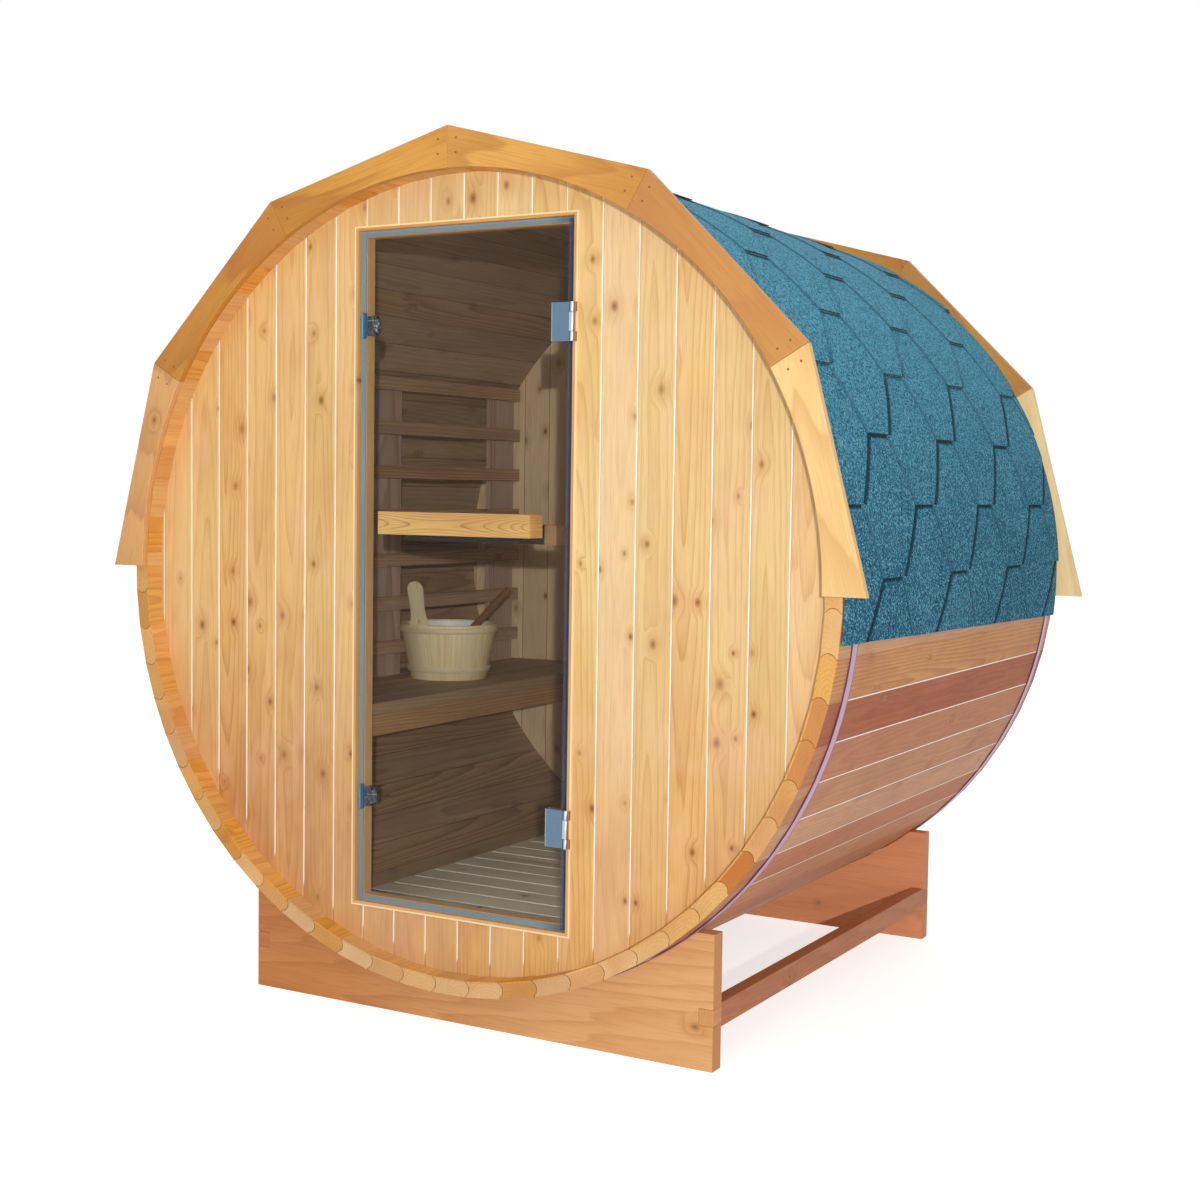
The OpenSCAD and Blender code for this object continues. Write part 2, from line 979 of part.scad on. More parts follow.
// Outside radius of the pail at a height
function pail_radius(level) =
    pail_foot_radius + (pail_rim_radius - pail_foot_radius) * level / pail_height;

// A coopered pail with one stave left long as an ear
module pail() {
    inside = pail_wall / cos(pail_slope);
    color(wood_pale)
        on_seat()
            difference() {
                union() {
                    cylinder(h = pail_height, r1 = pail_foot_radius, r2 = pail_rim_radius);
                    rotate([0, 0, ear_turn])
                        translate([pail_radius(pail_height / 2) - ear_inset, 0, pail_height / 2])
                            rotate([0, pail_slope, 0])
                                ear();
                }
                translate([0, 0, pail_floor])
                    cylinder(
                        h = pail_height - pail_floor,
                        r1 = pail_radius(pail_floor) - inside,
                        r2 = pail_rim_radius - inside
                    );
                translate([0, 0, pail_height])
                    cylinder(h = over, r = pail_rim_radius - inside);
            }
}

// The long stave's ear, drawn upright from the middle of the pail's side: a flare at the rim with a
// hole for a cord, a narrower neck and a round head
module ear() {
    half = ear_width / 2;
    rim = pail_height / 2;
    head = rim + ear_height - half;
    side = concat(
        [[half * neck_share, 0], [half * neck_share, rim]],
        [for (p = neck_shares) [half * p[1], rim + (head - rim) * p[0]]],
        [[half, head]]
    );
    last = len(side) - 1;
    translate([-pail_wall, 0, 0])
        rotate([90, 0, 90])
            linear_extrude(height = pail_wall)
                difference() {
                    union() {
                        polygon(concat(side, [for (i = [0 : last]) [-side[last - i][0], side[last - i][1]]]));
                        translate([0, head])
                            circle(r = half);
                    }
                    translate([0, rim + ear_hole_rise])
                        circle(r = ear_hole_radius);
                }
}

// The thin insert inside the pail
module pail_liner() {
    inside = pail_wall / cos(pail_slope) + joint_gap * 2;
    low = pail_floor + liner_lift;
    high = pail_height - liner_drop;
    color(plastic_white)
        on_seat()
            difference() {
                translate([0, 0, low])
                    cylinder(h = high - low, r1 = pail_radius(low) - inside, r2 = pail_radius(high) - inside);
                translate([0, 0, low + liner_wall])
                    cylinder(
                        h = high - low - liner_wall + over,
                        r1 = pail_radius(low + liner_wall) - inside - liner_wall,
                        r2 = pail_radius(high + over) - inside - liner_wall
                    );
            }
}

// The two bands round the pail
module pail_bands() {
    color(wood_pale)
        on_seat()
            for (level = band_levels)
                translate([0, 0, level])
                    difference() {
                        cylinder(
                            h = band_height,
                            r1 = pail_radius(level) + band_thickness,
                            r2 = pail_radius(level + band_height) + band_thickness
                        );
                        translate([0, 0, -over])
                            cylinder(
                                h = band_height + 2 * over,
                                r1 = pail_radius(level - over) + joint_gap,
                                r2 = pail_radius(level + band_height + over) + joint_gap
                            );
                    }
}

// A ladle standing in the pail, its handle on the rim and its open cup on the floor
module ladle() {
    color(wood_cradle)
        on_seat()
            translate(ladle_foot)
                rotate([0, ladle_lean, ladle_facing])
                    difference() {
                        union() {
                            cylinder(h = ladle_length, r = ladle_radius);
                            rotate([0, 90, 0])
                                cylinder(h = cup_depth, r = cup_radius, center = true);
                        }
                        translate([-cup_depth / 2 - over, 0, 0])
                            rotate([0, 90, 0])
                                cylinder(h = cup_depth + over - cup_wall, r = cup_radius - cup_wall);
                    }
}

front_cradle();
back_cradle();
stretchers();
right_staves();
upper_right_staves();
top_staves();
upper_left_staves();
left_staves();
lower_left_staves();
bottom_staves();
lower_right_staves();
front_hoop();
back_hoop();
front_wall_left();
front_wall_right();
front_wall_top();
front_wall_bottom();
back_wall_left();
back_wall_right();
left_jamb();
right_jamb();
door_head();
door_sill();
door_seal();
hinge_brackets();
roller_catches();
door_glass();
hinge_clamps();
door_handle();
front_fascia_left();
front_fascia_right();
back_fascia_left();
back_fascia_right();
roof_left();
roof_right();
floor_slats();
floor_bearers();
bench_slats();
bench_frame();
backrest_slats();
backrest_posts();
pail();
pail_liner();
pail_bands();
ladle();
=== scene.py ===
import math

import bpy
from mathutils import Matrix, Vector


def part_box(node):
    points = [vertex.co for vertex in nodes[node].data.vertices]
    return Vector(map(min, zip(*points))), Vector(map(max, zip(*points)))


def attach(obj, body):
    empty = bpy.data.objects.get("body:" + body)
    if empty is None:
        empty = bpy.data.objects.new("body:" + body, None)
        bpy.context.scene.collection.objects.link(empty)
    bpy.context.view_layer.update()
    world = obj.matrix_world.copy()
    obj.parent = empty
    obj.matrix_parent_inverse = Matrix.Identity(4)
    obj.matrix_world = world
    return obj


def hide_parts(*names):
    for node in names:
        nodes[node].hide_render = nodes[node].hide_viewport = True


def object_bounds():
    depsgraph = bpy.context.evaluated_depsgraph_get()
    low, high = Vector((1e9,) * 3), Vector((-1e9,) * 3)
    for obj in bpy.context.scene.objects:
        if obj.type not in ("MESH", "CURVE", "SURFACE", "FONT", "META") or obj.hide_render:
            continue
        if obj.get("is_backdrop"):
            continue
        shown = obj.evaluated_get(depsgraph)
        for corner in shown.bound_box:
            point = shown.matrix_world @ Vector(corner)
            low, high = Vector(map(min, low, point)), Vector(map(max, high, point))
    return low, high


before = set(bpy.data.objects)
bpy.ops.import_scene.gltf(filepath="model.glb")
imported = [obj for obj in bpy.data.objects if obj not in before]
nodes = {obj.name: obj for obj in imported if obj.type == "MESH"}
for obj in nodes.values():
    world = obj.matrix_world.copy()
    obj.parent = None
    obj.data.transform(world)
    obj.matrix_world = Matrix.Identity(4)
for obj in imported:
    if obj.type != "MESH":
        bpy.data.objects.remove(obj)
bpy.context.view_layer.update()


# Cradles and stretchers: two planks of red-brown stained pine on edge, with a round bed sawn in the top that
# carries the barrel, and two rails whose ends are let into notches in the planks. Edges are eased by hand.
class Shade:
    """A value in a finish's node tree. Sums on it add Math nodes, and make adds any other node."""

    def __init__(self, tree, socket=None):
        self.tree = tree
        self.socket = socket

    def make(self, kind, settings, sockets, *outputs):
        node = self.tree.nodes.new(kind)
        for name, value in settings.items():
            setattr(node, name, value)
        for name, value in sockets.items():
            if isinstance(value, Shade):
                self.tree.links.new(value.socket, node.inputs[name])
            else:
                node.inputs[name].default_value = value
        made = [Shade(self.tree, node.outputs[name]) for name in outputs]
        return made[0] if len(made) == 1 else made

    def math(self, operation, *values):
        return self.make("ShaderNodeMath", {"operation": operation}, dict(enumerate(values)), 0)

    def __add__(self, other):
        return self.math("ADD", self, other)

    __radd__ = __add__

    def __sub__(self, other):
        return self.math("SUBTRACT", self, other)

    def __rsub__(self, other):
        return self.math("SUBTRACT", other, self)

    def __mul__(self, other):
        return self.math("MULTIPLY", self, other)

    __rmul__ = __mul__

    def __truediv__(self, other):
        return self.math("DIVIDE", self, other)

    def __gt__(self, other):
        return self.math("GREATER_THAN", self, other)

    def __lt__(self, other):
        return self.math("LESS_THAN", self, other)

    def __abs__(self):
        return self.math("ABSOLUTE", self)

    def root(self):
        return self.math("SQRT", self)

    def rise(self, low, high):
        """Goes smoothly from 0 at low to 1 at high."""
        sockets = {"Value": self, "From Min": low, "From Max": high}
        return self.make("ShaderNodeMapRange", {"interpolation_type": "SMOOTHSTEP"}, sockets, "Result")

    def over(self, under, colour):
        """The colour laid over another one, where this mask is 1."""
        return self.make("ShaderNodeMix", {"data_type": "RGBA"}, {0: self, 6: under, 7: colour}, 2)

    def feed(self, node, socket):
        self.tree.links.new(self.socket, node.inputs[socket])


def paint(red, green, blue):
    """A colour from its screen values of 0 to 255."""
    shares = [value / 255 for value in (red, green, blue)]
    return (*[s / 12.92 if s < 0.04 else ((s + 0.055) / 1.055) ** 2.4 for s in shares], 1.0)


def new_finish(name):
    """A material with its shader and the three coordinates of the part's frame."""
    material = bpy.data.materials.new(name)
    material.use_nodes = True
    tree = material.node_tree
    place = Shade(tree).make("ShaderNodeTexCoord", {}, {}, "Object")
    along = place.make("ShaderNodeSeparateXYZ", {}, {"Vector": place}, "X", "Y", "Z")
    return material, tree.nodes["Principled BSDF"], *along


def cloud(across, depth, along, scale, detail=2.0):
    """Soft random patches from 0 to 1, with about that many to a metre."""
    place = across.make("ShaderNodeCombineXYZ", {}, {"X": across, "Y": depth, "Z": along}, "Vector")
    return across.make("ShaderNodeTexNoise", {}, {"Vector": place, "Scale": scale, "Detail": detail}, 0)


knot_radius = 0.0035
knot_growth = 0.0055
pith_depth = 0.008
pith_range = 0.05


def figure(across, depth, along, board, ring=0.008, slope=0.07, knot_cell=(0.087, 0.17), knot_odds=0.4,
           pith=None, spread=0.09, wander=3.0):
    """Year rings, fibres and knots of a plank, from its three axes, its number and its way from the pith."""
    make = across.make
    dice = make("ShaderNodeTexWhiteNoise", {"noise_dimensions": "1D"}, {"W": board}, "Color")
    first, second, third = make("ShaderNodeSeparateColor", {}, {"Color": dice}, "Red", "Green", "Blue")
    wide, long = knot_cell
    cell_place = {"X": across / wide + board * 1.7, "Y": along / long + first * 9.0, "Z": 0.0}
    cell = make("ShaderNodeCombineXYZ", {}, cell_place, "Vector")
    voronoi = {"Vector": cell, "Scale": 1.0, "Randomness": 0.8}
    spot, luck = make("ShaderNodeTexVoronoi", {"voronoi_dimensions": "2D"}, voronoi, "Position", "Color")
    offset = make("ShaderNodeVectorMath", {"operation": "SUBTRACT"}, {0: cell, 1: spot}, "Vector")
    side, run, _ = make("ShaderNodeSeparateXYZ", {}, {"Vector": offset}, "X", "Y", "Z")
    size, odds, hue = make("ShaderNodeSeparateColor", {}, {"Color": luck}, "Red", "Green", "Blue")
    side, run = side * wide, run * (long * 0.7)
    away = (side * side + run * run).root() / (knot_radius + knot_growth * size)
    there = odds < knot_odds
    halo = there * away.rise(4.5, 1.0)
    wave = cloud(across + board * 0.37, depth, along * 0.1, 15.0)
    fibre = cloud(across + board * 0.37, depth, along * 0.025, 520.0, detail=1.0)
    patch = cloud(across + board * 0.61, depth, along * 0.25, 9.0)
    if pith is None:
        pith = (across + (first - 0.5) * spread,
                depth + pith_depth + pith_range * second + along * ((third - 0.5) * slope))
    off_side, off_deep = pith
    heart = (off_side * off_side + off_deep * off_deep).root()
    turn = heart.math("FRACT", heart / ring + (wave - 0.5) * wander + halo * 0.8)
    late = turn * turn * turn.rise(1.0, 0.9)
    return {
        "late": late, "fibre": fibre, "patch": patch, "halo": halo,
        "knot": there * away.rise(1.5, 0.6), "pith": there * away.rise(0.8, 0.1),
        "hue": hue, "dice": (first, second, third),
    }


def tone(marks, pale, dark, knot=paint(172, 122, 70), pith=paint(118, 72, 46), vary=0.16, bold=0.5):
    """The colour of a plank with those marks, each plank a little lighter or darker than the next."""
    first, second, third = marks["dice"]
    wood = (marks["late"] * (bold * (0.5 + first))).over(pale, dark)
    wood = (marks["fibre"].rise(0.42, 0.75) * 0.3).over(wood, dark)
    wood = (marks["patch"].rise(0.4, 0.75) * 0.3).over(wood, dark)
    wood = (marks["halo"] * 0.35).over(wood, dark)
    wood = (marks["knot"] * (0.35 + 0.55 * marks["hue"])).over(wood, knot)
    wood = (marks["pith"] * (0.25 + 0.65 * marks["hue"])).over(wood, pith)
    shift = {
        "Hue": 0.5 + (third - 0.5) * 0.008, "Saturation": 1.0 + (first - 0.5) * vary,
        "Value": 1.0 + (second - 0.5) * vary, "Color": wood,
    }
    return wood.make("ShaderNodeHueSaturation", {}, shift, "Color")


def oil(surface, colour, marks, gloss=0.45):
    """Wood with that colour under a thin coat of oil, its fibres standing up a little."""
    colour.feed(surface, "Base Color")
    (gloss + 0.25 * marks["fibre"]).feed(surface, "Roughness")
    relief = {"Strength": 0.5, "Distance": 0.0004, "Height": marks["fibre"]}
    colour.make("ShaderNodeBump", {}, relief, "Normal").feed(surface, "Normal")


def dress(material, *names):
    """Gives CAD nodes their finish."""
    for name in names:
        nodes[name].material_slots[0].material = material


def ease(width, *names):
    """Rounds the sharp edges of CAD nodes in the picture alone, through modifiers."""
    for name in names:
        weld = nodes[name].modifiers.new("weld", "WELD")
        weld.merge_threshold = 1e-5
        flat = nodes[name].modifiers.new("flat", "DECIMATE")
        flat.decimate_type = "DISSOLVE"
        flat.angle_limit = math.radians(0.5)
        edge = nodes[name].modifiers.new("edge", "BEVEL")
        edge.width = width
        edge.segments = 2
        edge.limit_method = "ANGLE"
        edge.angle_limit = math.radians(40)
        edge.harden_normals = True


cradle_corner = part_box("front_cradle")[1]
cradle_ease = 0.002
skin = 0.001

cradle_finish, surface, x, y, z = new_finish("cradle_wood")
behind = y > 0.0
marks = figure(z, y, x, behind + 3.0, ring=0.011, knot_cell=(0.15, 0.3), knot_odds=0.3)
left_dark = x.rise(0.2, -0.5)
front_pale = left_dark.over(paint(222, 172, 122), paint(200, 133, 83))
front_dark = left_dark.over(paint(188, 124, 74), paint(162, 96, 54))
front_tone = tone(marks, front_pale, front_dark, bold=0.4)
# Painted light: the back cradle is painted lighter to make up for the shade under the barrel.
back_tone = tone(marks, paint(230, 148, 88), paint(188, 106, 60), bold=0.4)
colour = behind.over(front_tone, back_tone)
sawn = abs(x).rise(cradle_corner.x - 2 * skin, cradle_corner.x - skin)
oil(surface, (sawn * 0.7).over(colour, paint(190, 118, 64)), marks)
dress(cradle_finish, "front_cradle", "back_cradle")

rail_finish, surface, x, y, z = new_finish("stretcher_wood")
marks = figure(z, x, y, (x > 0.0) + 7.0, ring=0.008, knot_cell=(0.1, 0.3), knot_odds=0.3)
rail_tone = tone(marks, paint(192, 122, 82), paint(150, 82, 56), bold=0.4)
let_in = y < cradle_corner.y - skin
left_dark = x.rise(0.2, -0.5)
end_pale = left_dark.over(paint(218, 160, 106), paint(198, 130, 80))
end_dark = left_dark.over(paint(184, 116, 68), paint(164, 98, 56))
oil(surface, let_in.over(rail_tone, tone(marks, end_pale, end_dark, bold=0.4)), marks)
dress(rail_finish, "stretchers")
ease(cradle_ease, "front_cradle", "back_cradle", "stretchers")


# Barrel: sixty-four pine staves with a bead on one edge and a cove on the other, coopered into a drum. The
# outside is stained pinkish brown, the ends and the inside are oiled, and a painted highlight marks the open
# joints. Staves are counted round from the right, upwards from 0, and the ends seen on the right have stains
# of their own.
drum_axis = (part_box("top_staves")[1].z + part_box("bottom_staves")[0].z) / 2
drum_radius = 0.915
drum_inside = 0.879
drum_end = 0.75
stave_step = math.radians(360 / 64)
stave_turn = math.radians(3.6)
bead_radius = 0.017
bead_reach = 0.009
stain_depth = 0.004
end_skin = 0.0005
room_end = 0.69
hoop_reach = (-0.652, 0.682)
side_highlight_width = (0.0019, 0.0009)
room_joint = (0.002, 0.0008)
end_joint = (0.0016, 0.0004)
joints_top, joints_foot = -0.17, -0.66
pale_stave, old_stave = -3, -4
seen_staves = (-9, -1)
end_stains = {-4: 0.65, -5: 0.65, -6: 0.3, -7: 0.3, -8: 0.95}

stave_finish, surface, x, y, z = new_finish("stave_wood")
up = z - drum_axis
radius = (x * x + up * up).root()
from_bead = radius - (drum_radius + drum_inside) / 2
bead = bead_radius ** 2 - from_bead * from_bead
bead = bead.math("MAXIMUM", bead, 0.0).root() - (bead_radius - bead_reach)
bead = bead.math("MAXIMUM", bead, 0.0)
count = (up.math("ARCTAN2", up, x) - stave_turn - bead / radius) / stave_step
stave = count.math("FLOOR", count)
across = (count - stave - 0.5) * (stave_step * drum_radius)
marks = figure(across, drum_radius - radius, y, stave + 40.0, ring=0.008, knot_cell=(0.09, 0.3), knot_odds=0.35)
first, _, third = marks["dice"]
red = first.rise(0.2, 0.8) * (1.0 - (abs(stave - pale_stave) < 0.5))
old = abs(stave - old_stave) < 0.5
pale = old.over(red.over(paint(210, 156, 108), paint(192, 122, 80)), paint(174, 96, 54))
stained = tone(marks, pale, old.over(paint(160, 94, 62), paint(128, 58, 32)), vary=0.2)
blush = cloud(x, y * 0.5, z, 11.0)
stained = (blush.rise(0.5, 0.75) * 0.3).over(stained, paint(170, 102, 86))
seen = (stave > seen_staves[0] - 0.5) * (stave < seen_staves[1] + 0.5)
stain = sum((abs(stave - number) < 0.5) * level for number, level in end_stains.items())
orange = third.rise(0.55, 0.85) * 0.5 * (1.0 - seen) + stain
underneath = up.rise(-0.5, -0.85)
end_pale = underneath.over(paint(224, 174, 106), paint(228, 184, 126))
oiled = tone(marks, orange.over(end_pale, paint(192, 120, 60)), paint(178, 110, 56), vary=0.16, bold=0.25)
bore = radius < drum_inside + stain_depth
bore_tone = tone(marks, paint(228, 172, 98), paint(188, 116, 52))
in_room = bore * (abs(y) < room_end)
ceiling = up.rise(0.45, 0.75)
room_tone = tone(marks, ceiling.over(paint(186, 152, 112), paint(188, 154, 118)),
                 ceiling.over(paint(114, 80, 52), paint(132, 102, 76)), bold=0.55)
outside = (radius > drum_radius - stain_depth) * (abs(y) < drum_end - end_skin)
colour = outside.over(in_room.over(bore.over(oiled, bore_tone), room_tone), stained)
edge = (stave_step * drum_radius / 2) - abs(across)
low_side = up.rise(joints_top, joints_top - 0.02) * up.rise(joints_foot, joints_foot + 0.03)
between = (y > hoop_reach[0]) * (y < hoop_reach[1])
# Painted highlight: a near-white line along the stave joints between the hoops, low on the side.
joint_highlight = edge.rise(*side_highlight_width) * outside * between * low_side
colour = joint_highlight.over(colour, paint(255, 252, 244))
joint_dark = in_room * edge.rise(*room_joint)
colour = (joint_dark * 0.6).over(colour, paint(52, 38, 28))
at_end = (abs(y) > drum_end - end_skin) * edge.rise(*end_joint)
colour = (at_end * 0.75).over(colour, paint(120, 66, 26))
oil(surface, colour, marks)
surface.inputs["Specular IOR Level"].default_value = 0.25
dress(stave_finish, "right_staves", "upper_right_staves", "top_staves", "upper_left_staves", "left_staves",
      "lower_left_staves", "bottom_staves", "lower_right_staves")


# Hoops: two flat steel straps drawn tight round the staves near the ends, satin with a lilac cast, with
# painted shade along their rolled edges.
hoop_middles = [sum(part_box(name)[side].y for side in (0, 1)) / 2 for name in ("front_hoop", "back_hoop")]
hoop_half = 0.015
roll_width, roll_core = 0.0042, 0.0022
hoop_finish, surface, x, y, z = new_finish("hoop_steel")
from_middle = (y > 0.0) * (hoop_middles[0] - hoop_middles[1]) + (y - hoop_middles[0])
# Painted shade: the strap's rolled edges are darkened to dark purple.
rim = abs(from_middle).rise(hoop_half - roll_width, hoop_half - roll_core)
streak = cloud(x * 0.4, y * 8.0, z * 0.4, 60.0)
colour = rim.over(streak.over(paint(168, 134, 156), paint(196, 160, 178)), paint(112, 66, 110))
colour.feed(surface, "Base Color")
(0.32 + 0.2 * streak).feed(surface, "Roughness")
surface.inputs["Metallic"].default_value = 0.7
dress(hoop_finish, "front_hoop", "back_hoop")


# End walls: upright planed pine boards with chamfered edges, let into the grooves of the staves. Each joint
# shows outside as a painted highlight with a painted shadow beside it, and inside as a dark line.
board_pitch = 0.087
wall_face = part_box("front_wall_left")[0].y
wall_middle = 0.684
wall_highlight_width = (0.0018, 0.0009)
dark_joint = (0.0016, 0.0008)
joint_shade = (0.0038, 0.0026)
wall_finish, surface, x, y, z = new_finish("wall_wood")
up = z - drum_axis
count = x / board_pitch
board = count.math("FLOOR", count)
across = (count - board - 0.5) * board_pitch
behind = y > 0.0
marks = figure(across, y - wall_face, up, board + behind * 31.0, ring=0.01, slope=0.1, knot_odds=0.62,
               spread=0.05)
marks["late"] = marks["late"] * marks["late"]
# Painted light: the boards are painted paler towards the right, where the light fell on them; they are also
# darker and more orange towards the bottom.
lit_right = x.rise(-0.5, 0.5)
low = up.rise(0.0, -0.7)
pale = low.over(lit_right.over(paint(230, 188, 124), paint(228, 196, 140)),
                lit_right.over(paint(206, 152, 98), paint(224, 176, 114)))
dark = low.over(lit_right.over(paint(184, 122, 60), paint(190, 134, 74)),
                lit_right.over(paint(164, 102, 52), paint(178, 114, 56)))
outer = abs(y) > wall_middle
oiled = tone(marks, pale, dark, knot=paint(166, 108, 52), pith=paint(106, 60, 34), vary=0.12, bold=0.58)
blush = cloud(x + marks["dice"][1], y, z * 0.5, 13.0)
oiled = (blush.rise(0.5, 0.75) * 0.25).over(oiled, paint(240, 190, 156))
oiled = (blush.rise(0.5, 0.25) * 0.25).over(oiled, paint(234, 190, 112))
colour = outer.over(tone(marks, paint(236, 206, 160), paint(180, 142, 98)), oiled)
edge = board_pitch / 2 - abs(across)
radius = (x * x + up * up).root()
clear = outer - up.rise(-0.3, -0.5) * radius.rise(0.845, 0.86) * outer
# Painted shadow beside each joint on the outer faces, and a painted highlight along the joint itself.
shade = (across + board_pitch / 2).rise(*joint_shade) * (across < 0.0)
colour = (shade * clear * 0.35).over(colour, paint(150, 98, 56))
colour = (edge.rise(*wall_highlight_width) * clear).over(colour, paint(255, 252, 242))
colour = (edge.rise(*dark_joint) * (1.0 - outer) * 0.7).over(colour, paint(96, 74, 54))
oil(surface, colour, marks)
dress(wall_finish, "front_wall_left", "front_wall_right", "front_wall_top", "front_wall_bottom",
      "back_wall_left", "back_wall_right")


# Door frame: two jambs, a head and a sill of the same pine with a stop behind the glass. The outer arris
# carries a painted highlight where it stands off the wall.
frame_half = 0.2915
frame_low, frame_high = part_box("left_jamb")
frame_middle = (frame_low.z + frame_high.z) / 2
frame_tall = (frame_high.z - frame_low.z) / 2
arris_width, arris_core = 0.0045, 0.003
frame_finishes = {}
for name, upright in (("jamb_wood", True), ("head_wood", False)):
    material, surface, x, y, z = new_finish(name)
    if upright:
        marks = figure(x, y, z, (x > 0.0) + 60.0, knot_cell=(0.1, 0.4), knot_odds=0.3)
    else:
        marks = figure(z, y, x, (z > drum_axis) + 64.0, knot_cell=(0.1, 0.4), knot_odds=0.3)
    colour = tone(marks, paint(216, 166, 98), paint(182, 114, 50))
    arris_highlight = abs(x).rise(frame_half - arris_width, frame_half - arris_core)
    level_arris_highlight = abs(z - frame_middle).rise(frame_tall - arris_width, frame_tall - arris_core)
    arris_highlight = arris_highlight.math("MAXIMUM", arris_highlight, level_arris_highlight)
    # Painted highlight on the outer arris, in front of the wall.
    colour = (arris_highlight * (y < wall_face) * 0.9).over(colour, paint(250, 222, 172))
    oil(surface, colour, marks)
    frame_finishes[name] = material
dress(frame_finishes["jamb_wood"], "left_jamb", "right_jamb")
dress(frame_finishes["head_wood"], "door_head", "door_sill")


# Door seal: a soft grey-blue strip stuck on the stop, which the glass closes on. Paler patches on it are a
# painted sheen, and its roughness changes with them.
seal_finish, surface, x, y, z = new_finish("seal_strip")
sheen_patch = cloud(x, y, z, 3.0)
hinge_side = x.rise(0.2, 0.27)
# Painted sheen: paler patches of the strip's colour.
colour = sheen_patch.over(paint(112, 136, 150), paint(150, 164, 168))
hinge_side.over(colour, paint(84, 108, 128)).feed(surface, "Base Color")
(0.3 + 0.3 * sheen_patch).feed(surface, "Roughness")
dress(seal_finish, "door_seal")


# Glass door: one pane of grey tinted toughened glass, hung on the right on two steel clamps. It shows a faint
# veil of dust in the light, and the hinge edge is dark blue.
hinge_rim = 0.2675
glass_finish, surface, x, y, z = new_finish("door_glass")
veil = cloud(x, y, z, 2.5)
rim = x.rise(hinge_rim, hinge_rim + 0.002)
rim.over(veil.over(paint(84, 78, 68), paint(106, 100, 88)), paint(62, 68, 96)).feed(surface, "Base Color")
(0.07 + 0.45 * rim).feed(surface, "Alpha")
surface.inputs["Roughness"].default_value = 0.06
dress(glass_finish, "door_glass")


# Hinges and catches: satin steel plates and knuckles that clamp the pane, with painted highlights on two edges
# and a painted reflection of the pine on the brackets, and two black moulded catches with rollers on the left
# stop, speckled with painted glints.
clamp_edge, knuckle_edge, bracket_edge = 0.2335, 0.276, 0.286
steel_ease = 0.0012
steel_finish, surface, x, y, z = new_finish("hinge_steel")
brushed = cloud(x * 0.2, y * 0.2, z, 900.0)
colour = brushed.over(paint(78, 106, 130), paint(112, 138, 160))
# Painted highlight on the clamp's left edge.
colour = x.rise(clamp_edge + 0.001, clamp_edge).over(colour, paint(146, 160, 166))
# Painted highlight along the knuckles' edge.
colour = x.rise(knuckle_edge, knuckle_edge + 0.001).over(colour, paint(196, 206, 214))
# Painted reflection: the brackets' far side takes the colour of the pine beside it.
x.rise(bracket_edge, bracket_edge + 0.0015).over(colour, paint(150, 120, 92)).feed(surface, "Base Color")
(0.28 + 0.2 * brushed).feed(surface, "Roughness")
surface.inputs["Metallic"].default_value = 0.6
dress(steel_finish, "hinge_brackets", "hinge_clamps")

catch_finish, surface, x, y, z = new_finish("catch_black")
grit_and_glints = cloud(x, y, z, 260.0)
colour = grit_and_glints.over(paint(8, 10, 14), paint(40, 46, 56))
# Painted glints: pale specks on the black.
((grit_and_glints > 0.6) * 0.7).over(colour, paint(170, 188, 196)).feed(surface, "Base Color")
(0.3 + 0.25 * grit_and_glints).feed(surface, "Roughness")
dress(catch_finish, "roller_catches")
ease(steel_ease, "hinge_brackets", "hinge_clamps", "roller_catches")


# Pull bars: a flat bar of pine outside and one inside, bolted to each other through the pane, with flame
# grain along their length. The inner bar's glass side behind the outer bar carries a near-black painted shadow.
handle_low, handle_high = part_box("door_handle")
flame_rise, flame_middle = 0.005, -0.03
flame_depth, flame_curve = 0.032, 0.26
inner_overhang = 0.029
inner_face = -0.69
handle_ease = 0.0025

handle_finish, surface, x, y, z = new_finish("handle_wood")
outer_bar = y < wall_face
across = z - (handle_low.z + handle_high.z) / 2 - flame_rise
run = x - flame_middle
marks = figure(across, y, x, outer_bar + 80.0, ring=0.0028, knot_odds=0.0,
               pith=(across, flame_depth - run * run * flame_curve), wander=0.8)
marks["late"] = marks["late"] * marks["late"] * marks["late"]
# Painted shadow: the inner bar's glass side behind the outer bar is near-black.
bar_shadow = (x < handle_high.x - inner_overhang) * (y < inner_face)
inner_pale = bar_shadow.over(paint(150, 114, 76), paint(28, 18, 18))
inner_dark = bar_shadow.over(paint(96, 64, 38), paint(30, 20, 18))
outer_tone = tone(marks, paint(206, 164, 102), paint(124, 70, 30), bold=1.1)
oil(surface, outer_bar.over(tone(marks, inner_pale, inner_dark), outer_tone), marks)
dress(handle_finish, "door_handle")
ease(handle_ease, "door_handle")


# Fascia: six mitred boards at each end, nailed to the ends of the staves, which cover the edge of the roof.
# They are oiled orange, the lowest ones paler, and each mitre has two round nail heads on either side.
fascia_turn = math.radians(30)
fascia_out = 0.9
fascia_ease = 0.0015
fascia_finish, surface, x, y, z = new_finish("fascia_wood")
up = z - drum_axis
count = up.math("ARCTAN2", up.math("MAXIMUM", up, 0.001), x) / fascia_turn
side = count.math("MINIMUM", count.math("FLOOR", count), 5.0)
middle = (side + 0.5) * fascia_turn
level, upright = middle.math("COSINE", middle), middle.math("SINE", middle)
out = x * level + up * upright
along = up * level - x * upright
behind = y > 0.0
marks = figure(out - fascia_out, y, along, side + behind * 13.0 + 90.0, slope=0.08, knot_cell=(0.2, 0.3),
               knot_odds=0.35, wander=2.0)
right_low, left_low = side < 0.5, side > 4.5
pale = abs(x).rise(0.15, 0.6).over(paint(216, 158, 78), paint(196, 138, 60))
